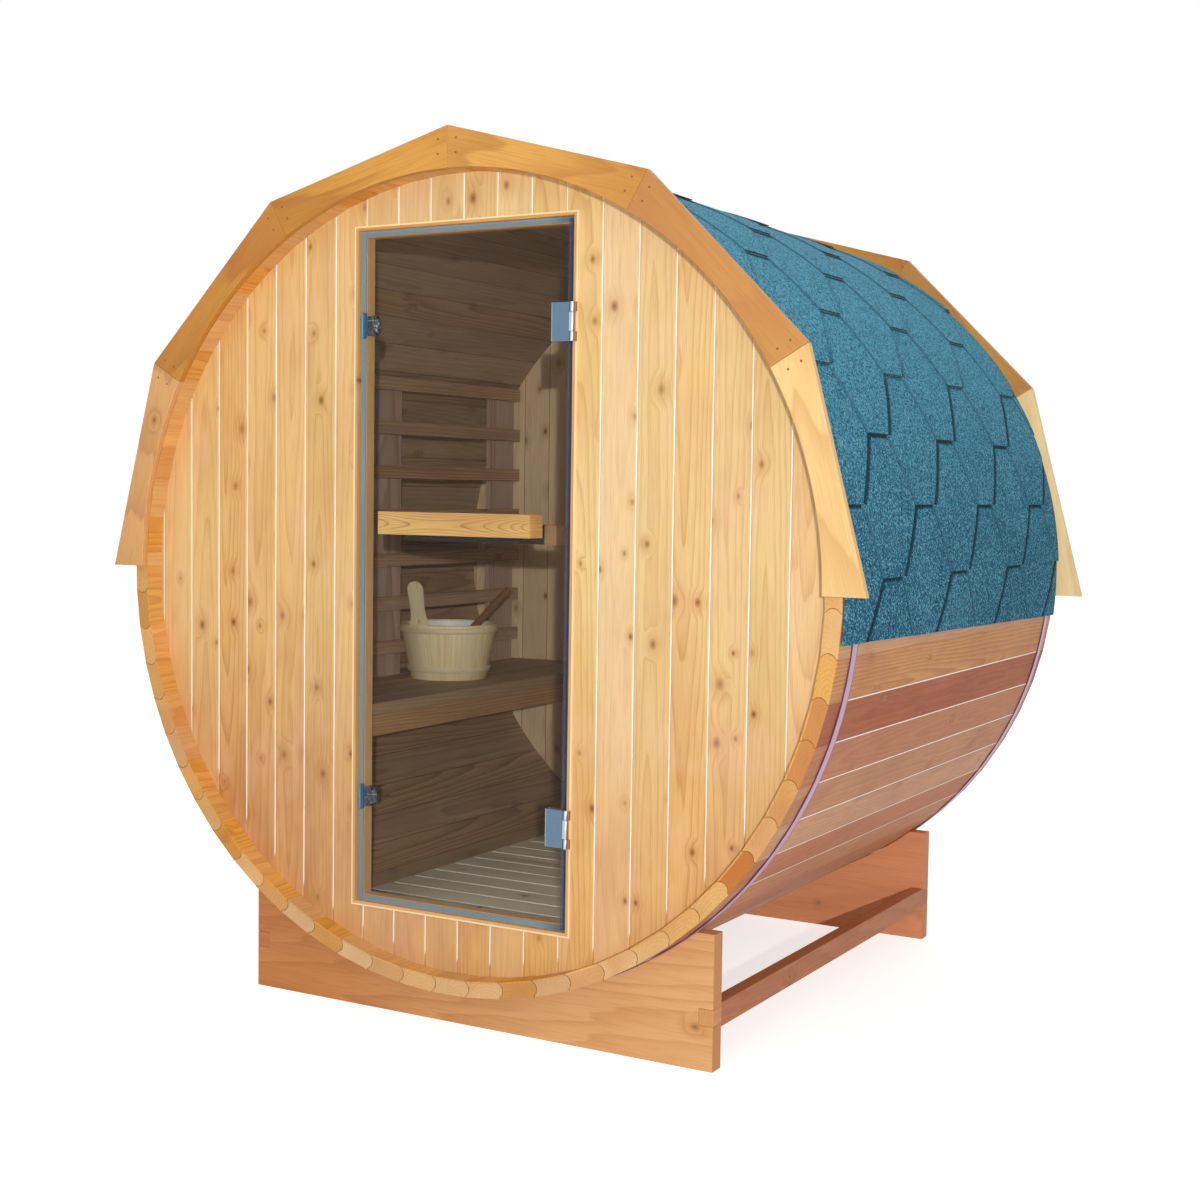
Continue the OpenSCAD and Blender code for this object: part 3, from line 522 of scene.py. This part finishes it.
# Painted light: the lowest boards on the right are painted paler at the back end, to make up for the light
# falling off there.
right_tone = behind.over(paint(238, 202, 138), paint(252, 220, 160))
pale = right_low.over(left_low.over(pale, paint(216, 166, 104)), right_tone)
dark = right_low.over(left_low.over(paint(166, 100, 42), paint(172, 116, 62)), paint(208, 160, 96))
oil(surface, tone(marks, pale, dark, vary=0.1, bold=0.6), marks)
dress(fascia_finish, "front_fascia_left", "front_fascia_right", "back_fascia_left", "back_fascia_right")
ease(fascia_ease, "front_fascia_left", "front_fascia_right", "back_fascia_left", "back_fascia_right")


def pick(obj, test):
    """Selects the vertices of the piece in hand by their place, and leaves it in edit mode."""
    bpy.ops.object.mode_set(mode="OBJECT")
    for vertex in obj.data.vertices:
        vertex.select = test(vertex.co)
    for group in (obj.data.edges, obj.data.polygons):
        for item in group:
            item.select = all(obj.data.vertices[i].select for i in item.vertices)
    bpy.ops.object.mode_set(mode="EDIT")


def take(obj):
    """Makes a piece the only one selected."""
    bpy.ops.object.select_all(action="DESELECT")
    obj.select_set(True)
    bpy.context.view_layer.objects.active = obj


def copy_of(obj, name):
    """A copy with a mesh of its own, taken in hand."""
    made = obj.copy()
    made.data = obj.data.copy()
    made.name = made.data.name = name
    bpy.context.scene.collection.objects.link(made)
    take(made)
    return made


def settle(obj):
    """Puts the piece's place into its mesh."""
    take(obj)
    bpy.ops.object.transform_apply(location=True, rotation=True, scale=True)


def join(pieces, name):
    """Joins pieces into one."""
    take(pieces[0])
    for piece in pieces:
        piece.select_set(True)
    bpy.ops.object.join()
    pieces[0].name = pieces[0].data.name = name
    return pieces[0]


nail_radius = 0.0026
nail_height = 0.001
nail_from_mitre = 0.024
nail_outs = (0.885, 0.915)
hair = 0.0001
fascia_faces = (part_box("front_fascia_left")[0].y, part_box("back_fascia_left")[1].y)

bpy.ops.object.select_all(action="DESELECT")
bpy.ops.mesh.primitive_uv_sphere_add(segments=10, ring_count=6, radius=nail_radius)
nail = bpy.context.object
pick(nail, lambda co: co.z < -hair)
bpy.ops.mesh.delete(type="VERT")
pick(nail, lambda co: True)
bpy.ops.transform.resize(value=(1, 1, nail_height / nail_radius), center_override=(0, 0, 0))
pick(nail, lambda co: co.z < hair)
bpy.ops.mesh.edge_face_add()
bpy.ops.object.mode_set(mode="OBJECT")
bpy.ops.object.shade_smooth_by_angle(angle=math.radians(50))
nails = []
for face, turned in zip(fascia_faces, (90, -90)):
    for board in range(6):
        middle = (board + 0.5) * fascia_turn
        for end in (-1, 1):
            if (board, end) in ((0, -1), (5, 1)):
                continue
            for out in nail_outs:
                run = end * (out * math.tan(fascia_turn / 2) - nail_from_mitre)
                head = copy_of(nail, "nail")
                head.rotation_euler = (math.radians(turned), 0, 0)
                head.location = (out * math.cos(middle) - run * math.sin(middle), face,
                                 drum_axis + out * math.sin(middle) + run * math.cos(middle))
                settle(head)
                nails.append(head)
bpy.data.objects.remove(nail)
fascia_nails = join(nails, "fascia_nails")
nail_finish, surface, x, y, z = new_finish("nail_steel")
rust = cloud(x, y, z, 400.0)
rust.over(paint(112, 70, 40), paint(150, 98, 58)).feed(surface, "Base Color")
(0.4 + 0.3 * rust).feed(surface, "Roughness")
surface.inputs["Metallic"].default_value = 0.5
fascia_nails.data.materials.append(nail_finish)
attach(fascia_nails, "cabin")


# Catch plates: a thin plate of steel painted blue behind each catch, with rounded corners and worn paint. They
# lie on the seal and are held by the catches' own screws.
catch_low, catch_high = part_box("roller_catches")
seal_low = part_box("door_seal")[0]
plate_half = (0.0058, 0.0005, 0.029)
plate_corner = 0.004
plate_middle = Vector((seal_low.x + 0.008, seal_low.y - plate_half[1], 0))
catch_half = 0.022
worn_edge = seal_low.x + 0.003

bpy.ops.object.select_all(action="DESELECT")
bpy.ops.mesh.primitive_cube_add(size=2)
plate = bpy.context.object
pick(plate, lambda co: True)
bpy.ops.transform.resize(value=plate_half)
bpy.ops.object.mode_set(mode="OBJECT")
for edge in plate.data.edges:
    ends = [plate.data.vertices[i].co for i in edge.vertices]
    edge.select = abs(ends[0].y - ends[1].y) > plate_half[1]
bpy.ops.object.mode_set(mode="EDIT")
bpy.ops.mesh.select_mode(type="EDGE")
bpy.ops.mesh.bevel(offset=plate_corner, segments=5)
bpy.ops.mesh.select_mode(type="VERT")
bpy.ops.object.mode_set(mode="OBJECT")
plates = []
for level in (catch_low.z + catch_half, catch_high.z - catch_half):
    made = copy_of(plate, "catch_plate")
    made.location = plate_middle + Vector((0, 0, level))
    settle(made)
    plates.append(made)
bpy.data.objects.remove(plate)
catch_plates = join(plates, "catch_plates")
plate_finish, surface, x, y, z = new_finish("catch_blue")
worn = cloud(x, y, z, 260.0)
colour = worn.over(paint(14, 66, 112), paint(44, 120, 160))
x.rise(worn_edge + 0.003, worn_edge).over(colour, paint(96, 160, 184)).feed(surface, "Base Color")
(0.3 + 0.3 * worn).feed(surface, "Roughness")
catch_plates.data.materials.append(plate_finish)
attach(catch_plates, "cabin")


# Roof: bitumen shingles with teal mineral grit, laid in courses from the eaves up and bent to the barrel. The
# tabs narrow downwards, so that each course shows as a row of long hexagons, with painted shadows beside and
# under each tab.
tab_pitch = 0.425
tab_top = 0.155
tab_foot = 0.0575
sheet = 0.0028
layer = 0.003
roof_radius = 0.9177
roof_end = 0.749
rows = 4
row_slack = 0.001
tabs = 7
first_course, ridge_course, last_course = -2, 7, 8
ridge_gap = 0.001
course_rise = math.radians(9.3)
course_arc = course_rise * roof_radius
course_length = course_arc * (2 + 1 / rows)
row_arc = course_arc / rows
eave_run = 0.0145
eave_point = drum_axis + 0.002
eaves = {"roof_right": math.radians(-6.6), "roof_left": math.radians(1.0)}
angle_start, angle_step, angle_growth = 1.8, 9.2, 0.05
shift_start, shift_step, shift_growth = 0.254, 0.0085, 0.0065


def course_angle(number):
    """The angle of a course's tab ends above the level of the axis."""
    return math.radians(angle_start + angle_step * number + angle_growth * number ** 2)


def course_shift(number):
    """How far the middle of a course's first tab lies from the front end, as the roofer laid it."""
    return shift_start + (number % 2) * tab_pitch / 2 + shift_step * number + shift_growth * number ** 2


bpy.ops.object.select_all(action="DESELECT")
bpy.ops.mesh.primitive_grid_add(x_subdivisions=3, y_subdivisions=2 * rows + 1, size=1)
strip = bpy.context.object
strip.scale = (tab_pitch, course_length, 1)
strip.location = (0, course_length / 2, 0)
settle(strip)
pick(strip, lambda co: abs(co.x) < tab_pitch / 4)
bpy.ops.transform.resize(value=(tab_top / (tab_pitch / 6), 1, 1), center_override=(0, 0, 0))
bpy.ops.mesh.select_all(action="DESELECT")
bpy.ops.mesh.select_mode(type="FACE")
bpy.ops.object.mode_set(mode="OBJECT")
for face in strip.data.polygons:
    face.select = abs(face.center.x) > tab_top and face.center.y < course_arc
bpy.ops.object.mode_set(mode="EDIT")
bpy.ops.mesh.delete(type="FACE")
bpy.ops.mesh.select_mode(type="VERT")
for row in range(rows):
    half = tab_foot + (tab_top - tab_foot) * row / rows
    pick(strip, lambda co: abs(co.y - row * row_arc) < row_slack)
    bpy.ops.transform.resize(value=(half / tab_top, 1, 1), center_override=(0, 0, 0))
bpy.ops.object.mode_set(mode="OBJECT")
repeat = strip.modifiers.new("repeat", "ARRAY")
repeat.count = tabs
repeat.use_relative_offset = False
repeat.use_constant_offset = True
repeat.constant_offset_displace = (tab_pitch, 0, 0)
repeat.use_merge_vertices = True
repeat.merge_threshold = 0.0005
bpy.ops.object.modifier_apply(modifier="repeat")


def trim(obj, point, normal):
    """Saws off what lies behind a plane and closes the cut."""
    take(obj)
    pick(obj, lambda co: True)
    bpy.ops.mesh.bisect(plane_co=point, plane_no=normal, use_fill=True, clear_inner=True)
    bpy.ops.object.mode_set(mode="OBJECT")


def bend_on(obj, angle):
    """Thickens a flat sheet, bends it to the barrel and lays it with its foot at an angle."""
    obj.rotation_euler = (math.pi / 2, 0, math.pi / 2)
    settle(obj)
    thick = obj.modifiers.new("thick", "SOLIDIFY")
    thick.thickness = sheet
    thick.offset = 1
    thick.material_offset_rim = 1
    bpy.ops.object.modifier_apply(modifier="thick")
    bend = obj.modifiers.new("bend", "SIMPLE_DEFORM")
    bend.deform_method = "BEND"
    bend.deform_axis = "Y"
    span = max(v.co.z for v in obj.data.vertices) - min(v.co.z for v in obj.data.vertices)
    bend.angle = -span / roof_radius
    bpy.ops.object.modifier_apply(modifier="bend")
    turn = Matrix.Rotation(-angle, 4, "Y") @ Matrix.Translation((roof_radius, 0, 0))
    obj.matrix_world = Matrix.Translation((0, 0, drum_axis)) @ turn
    settle(obj)


grains_per_metre = 330.0
tab_shadow_width = (0.034, 0.018)
tab_edge_width = (0.0075, 0.003)
shingle_finish, surface, x, y, z = new_finish("roof_shingle")
up = z - drum_axis
place = x.make("ShaderNodeCombineXYZ", {}, {"X": x, "Y": y, "Z": z}, "Vector")
grains = x.make("ShaderNodeTexVoronoi", {}, {"Vector": place, "Scale": grains_per_metre}, "Color")
light, dull, pick_out = x.make("ShaderNodeSeparateColor", {}, {"Color": grains}, "Red", "Green", "Blue")
patch = cloud(x, y, z, 6.0)
# Painted shade: the grit is painted darker towards the eaves and lighter towards the ridge.
base = up.rise(-0.05, 0.8).over(paint(46, 104, 130), paint(92, 170, 200))
base = (patch.rise(0.35, 0.7) * 0.2).over(base, paint(96, 160, 184))
colour = ((light > 0.72) * 0.45).over(base, paint(150, 214, 232))
colour = ((dull > 0.66) * 0.68).over(colour, paint(10, 40, 56))
angle = up.math("ARCTAN2", up, abs(x)) * math.degrees(1)
square = angle * (4 * angle_growth) + (angle_step ** 2 - 4 * angle_growth * angle_start)
count = (square.root() - angle_step) / (2 * angle_growth)
laid = count.math("FLOOR", count)
part = count - laid
stagger = laid.math("FLOORED_MODULO", laid, 2.0) * (tab_pitch / 2)
shift = shift_start + stagger + laid * shift_step + laid * laid * shift_growth
drift = laid * (2 * shift_growth) + (shift_step + shift_growth)
tab = (y + drum_end - shift - drift * part) / tab_pitch + 0.5
past = abs((tab.math("FRACT", tab) - 0.5) * tab_pitch)
right_half = tab.math("FRACT", tab) > 0.5
beyond = past - tab_foot - part * (tab_top - tab_foot)
# Painted shadows: a dark band beside the right side of each tab that fades out up the roof, a thinner line
# along both sides, and a band under each tab's foot.
fade = (0.2 + 0.8 * up.rise(0.52, 0.42)) * up.rise(0.75, 0.6)
tab_shadow = right_half * beyond.rise(*tab_shadow_width) * (beyond > -0.003) * fade
tab_edge_shade = beyond.rise(*tab_edge_width) * (beyond > -0.002) * 0.5
next_tab = tab + 0.5
past_foot = abs((next_tab.math("FRACT", next_tab) - 0.5) * tab_pitch)
under = (past_foot < tab_foot) * part.rise(0.92, 0.97) * (0.4 + 0.6 * up.rise(0.5, 0.3))
tab_shadow = tab_shadow.math("MAXIMUM", tab_shadow, tab_edge_shade)
colour = (tab_shadow.math("MAXIMUM", tab_shadow, under) * 0.85).over(colour, paint(14, 36, 46))
colour.feed(surface, "Base Color")
surface.inputs["Roughness"].default_value = 0.85
surface.inputs["Specular IOR Level"].default_value = 0.06
relief = {"Strength": 0.6, "Distance": 0.0012, "Height": pick_out}
x.make("ShaderNodeBump", {}, relief, "Normal").feed(surface, "Normal")

# The cut edges of the shingles are dark: the tar of the real edge, darkened further as painted shade.
edge_finish, surface, x, y, z = new_finish("shingle_edge")
edge_mottle = cloud(x, y, z, 300.0)
edge_mottle.over(paint(16, 26, 32), paint(38, 56, 66)).feed(surface, "Base Color")
surface.inputs["Roughness"].default_value = 0.7
# Painted light: the edges that face the front get a lit teal copy of the edge colour.
lit_side_finish, surface, x, y, z = new_finish("shingle_lit_side")
edge_mottle = cloud(x, y, z, 300.0)
edge_mottle.over(paint(48, 94, 116), paint(72, 124, 148)).feed(surface, "Base Color")
surface.inputs["Roughness"].default_value = 0.85
for finish in (shingle_finish, edge_finish, lit_side_finish):
    strip.data.materials.append(finish)

for node, eave in eaves.items():
    courses = []
    for number in range(first_course, last_course + 1):
        course = copy_of(strip, "course")
        lean = course_shift(number + 1) - course_shift(number)
        lean -= tab_pitch / 2 if lean > 0.1 else -tab_pitch / 2
        for row in range(1, 2 * rows + 2):
            pick(course, lambda co: abs(co.y - row * row_arc) < row_slack)
            bpy.ops.transform.translate(value=(lean * min(row / rows, 1), 0, 0))
        bpy.ops.object.mode_set(mode="OBJECT")
        course.location = (course_shift(number) - drum_end - tabs // 2 * tab_pitch, 0, 2 * layer)
        course.rotation_euler = (-math.atan2(layer, course_arc), 0, 0)
        settle(course)
        bend_on(course, course_angle(number))
        trim(course, (0, -roof_end, 0), (0, 1, 0))
        trim(course, (0, roof_end, 0), (0, -1, 0))
        if course_angle(number) < eave:
            trim(course, (0, 0, eave_point), (-math.sin(eave), eave_run, math.cos(eave)))
        if number >= ridge_course:
            trim(course, (ridge_gap, 0, 0), (1, 0, 0))
        # Edges that face the front take the lit copy.
        for face in course.data.polygons:
            if face.material_index == 1 and face.normal.y < -0.3:
                face.material_index = 2
        courses.append(course)
    roof = join(courses, "shingles_" + node.split("_")[1])
    if node == "roof_left":
        roof.scale = (-1, 1, 1)
        settle(roof)
        pick(roof, lambda co: True)
        bpy.ops.mesh.flip_normals()
        bpy.ops.object.mode_set(mode="OBJECT")
    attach(roof, "cabin")
    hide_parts(node)
bpy.data.objects.remove(strip)


# Floor, bench and backrest: planed pine slats left bare, the floor across two bearers, the seat along the
# left wall on a rail and bearers, and the backrest on three flat posts screwed to the staves.
slat_pitch, tier_pitch = 0.06, 0.08
slat_ease = 0.002
for name, axes, pale, dark, dressed in (
    ("floor_wood", "yzx", paint(250, 238, 212), paint(196, 178, 150), "floor_slats"),
    ("bearer_wood", "xzy", paint(190, 158, 116), paint(150, 112, 74), "floor_bearers"),
    ("seat_wood", "xzy", paint(180, 148, 106), paint(126, 92, 58), "bench_slats"),
    ("rail_wood", "zxy", paint(186, 146, 94), paint(130, 88, 48), "bench_frame"),
    ("rest_wood", "zxy", paint(194, 154, 116), paint(132, 94, 64), "backrest_slats"),
    ("post_wood", "yxz", paint(196, 168, 146), paint(146, 116, 94), "backrest_posts"),
):
    material, surface, x, y, z = new_finish(name)
    by_letter = {"x": x, "y": y, "z": z}
    across, depth, along = (by_letter[letter] for letter in axes)
    slat, tier = across / slat_pitch, depth / tier_pitch
    number = slat.math("FLOOR", slat) + tier.math("FLOOR", tier) * 7.0
    marks = figure(across, depth, along, number + 120.0, knot_cell=(0.12, 0.3))
    oil(surface, tone(marks, pale, dark, bold=0.7), marks, 0.55)
    dress(material, dressed)
ease(slat_ease, "floor_slats", "bench_slats", "bench_frame", "backrest_slats")


# Pail and ladle: a pail of pale pine staves with a long ear, two split-wood bands and a white insert, and a
# dark turned ladle that leans on its rim.
pail_low, pail_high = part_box("pail_liner")
pail_middle = (pail_low + pail_high) / 2
pail_turn = math.radians(20)
pail_stave = 0.042
pail_joint = (0.0014, 0.0006)
band_ease, pail_ease = 0.004, 0.003

pail_finish, surface, x, y, z = new_finish("pail_wood")
off_x, off_y = x - pail_middle.x, y - pail_middle.y
count = off_x.math("ARCTAN2", off_y, off_x) / pail_turn
stave = count.math("FLOOR", count)
across = (count - stave - 0.5) * pail_stave
marks = figure(across, 0.01, z, stave + 150.0, ring=0.006, knot_cell=(0.05, 0.2), knot_odds=0.2)
colour = tone(marks, paint(252, 236, 184), paint(222, 188, 122))
joint = (pail_stave / 2 - abs(across)).rise(*pail_joint)
colour = (joint * 0.15).over(colour, paint(150, 116, 70))
oil(surface, colour, marks)
dress(pail_finish, "pail")

band_finish, surface, x, y, z = new_finish("band_wood")
marks = figure(z, x, y, 170.0, ring=0.004, knot_odds=0.0)
oil(surface, tone(marks, paint(240, 226, 180), paint(206, 178, 124)), marks)
dress(band_finish, "pail_bands")
ease(band_ease, "pail_bands")
ease(pail_ease, "pail")

liner_finish, surface, x, y, z = new_finish("liner_white")
scuff = cloud(x, y, z, 60.0)
scuff.over(paint(255, 255, 252), paint(244, 246, 242)).feed(surface, "Base Color")
(0.25 + 0.2 * scuff).feed(surface, "Roughness")
dress(liner_finish, "pail_liner")

ladle_finish, surface, x, y, z = new_finish("ladle_wood")
marks = figure(x, y, z, 180.0, ring=0.005, knot_odds=0.0)
oil(surface, tone(marks, paint(132, 92, 56), paint(88, 56, 32)), marks)
dress(ladle_finish, "ladle")


# Studio: a pale floor that keeps the shadow, a white surround, and soft lamps from the front, the right, above
# and behind, with the strongest one above the camera.
floor_grey = (0.82, 0.82, 0.82, 1)
floor_glow = (0.66, 0.66, 0.66, 1)
room_light = (0.16, 0.16, 0.16, 1)


def in_view(tree):
    """A mask that is 1 for what the camera sees, also in a reflection or through glass, and 0 for the light."""
    kinds = "Is Camera Ray", "Is Glossy Ray", "Is Transmission Ray"
    straight, mirrored, through = Shade(tree).make("ShaderNodeLightPath", {}, {}, *kinds)
    seen = straight.math("MAXIMUM", straight, mirrored)
    return seen.math("MAXIMUM", seen, through)


bpy.ops.object.select_all(action="DESELECT")
bpy.ops.mesh.primitive_plane_add(size=60)
studio_floor = bpy.context.object
studio_floor.name = "studio_floor"
floor_finish = bpy.data.materials.new("studio_floor")
floor_finish.use_nodes = True
surface = floor_finish.node_tree.nodes["Principled BSDF"]
surface.inputs["Base Color"].default_value = floor_grey
surface.inputs["Roughness"].default_value = 1.0
surface.inputs["Specular IOR Level"].default_value = 0.0
in_view(floor_finish.node_tree).over((0, 0, 0, 1), floor_glow).feed(surface, "Emission Color")
surface.inputs["Emission Strength"].default_value = 1.0
studio_floor.data.materials.append(floor_finish)
studio_floor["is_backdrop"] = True

world = bpy.data.worlds.new("studio")
bpy.context.scene.world = world
world.use_nodes = True
sky = world.node_tree.nodes["Background"]
in_view(world.node_tree).over(room_light, (1, 1, 1, 1)).feed(sky, "Color")

for name, towards, level, spread in (
    ("key", (0.04, -0.8, 0.6), 0.16, 50),
    ("right_fill", (0.92, -0.3, 0.2), 0.2, 60),
    ("top_soft", (0.1, -0.1, 1.0), 0.15, 120),
    ("back_fill", (-0.5, 0.85, 0.25), 0.4, 60),
):
    bpy.ops.object.light_add(type="SUN")
    lamp = bpy.context.object
    lamp.name = name
    lamp.data.energy = level * math.pi
    lamp.data.angle = math.radians(spread)
    lamp.rotation_euler = Vector(towards).to_track_quat("Z", "Y").to_euler()

camera_place = Vector((2.1684, -3.8938, 1.2064))
camera_round = math.radians(29.62)
camera_up = math.radians(3.55)
camera_roll = math.radians(0.826)
camera_lens = 52.63
camera_sensor = 36
back = Vector((math.sin(camera_round) * math.cos(camera_up), -math.cos(camera_round) * math.cos(camera_up),
               math.sin(camera_up)))
right = Vector((math.cos(camera_round), math.sin(camera_round), 0))
above = back.cross(right)
rolled_right = right * math.cos(camera_roll) + above * math.sin(camera_roll)
rolled_up = above * math.cos(camera_roll) - right * math.sin(camera_roll)
camera = bpy.data.objects.new("camera", bpy.data.cameras.new("camera"))
bpy.context.scene.collection.objects.link(camera)
camera_turn = Matrix((rolled_right, rolled_up, back)).transposed().to_4x4()
camera.matrix_world = Matrix.Translation(camera_place) @ camera_turn
camera.data.lens = camera_lens
camera.data.sensor_width = camera_sensor
bpy.context.scene.camera = camera
bpy.context.scene.view_settings.view_transform = "Standard"

door_middle = Vector((0.0, -0.7, 1.05))
softbox_reach = 1.55
softbox_rise = Vector((0, 0, 0.25))
softbox_place = door_middle + (camera_place - door_middle) * softbox_reach + softbox_rise
softbox_level = 0.5
softbox_radius = 0.03
bpy.ops.object.light_add(type="POINT", location=softbox_place)
softbox = bpy.context.object
softbox.name = "softbox"
softbox.data.energy = softbox_level * 4 * math.pi ** 2 * (softbox_place - door_middle).length_squared
softbox.data.shadow_soft_size = softbox_radius

low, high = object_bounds()
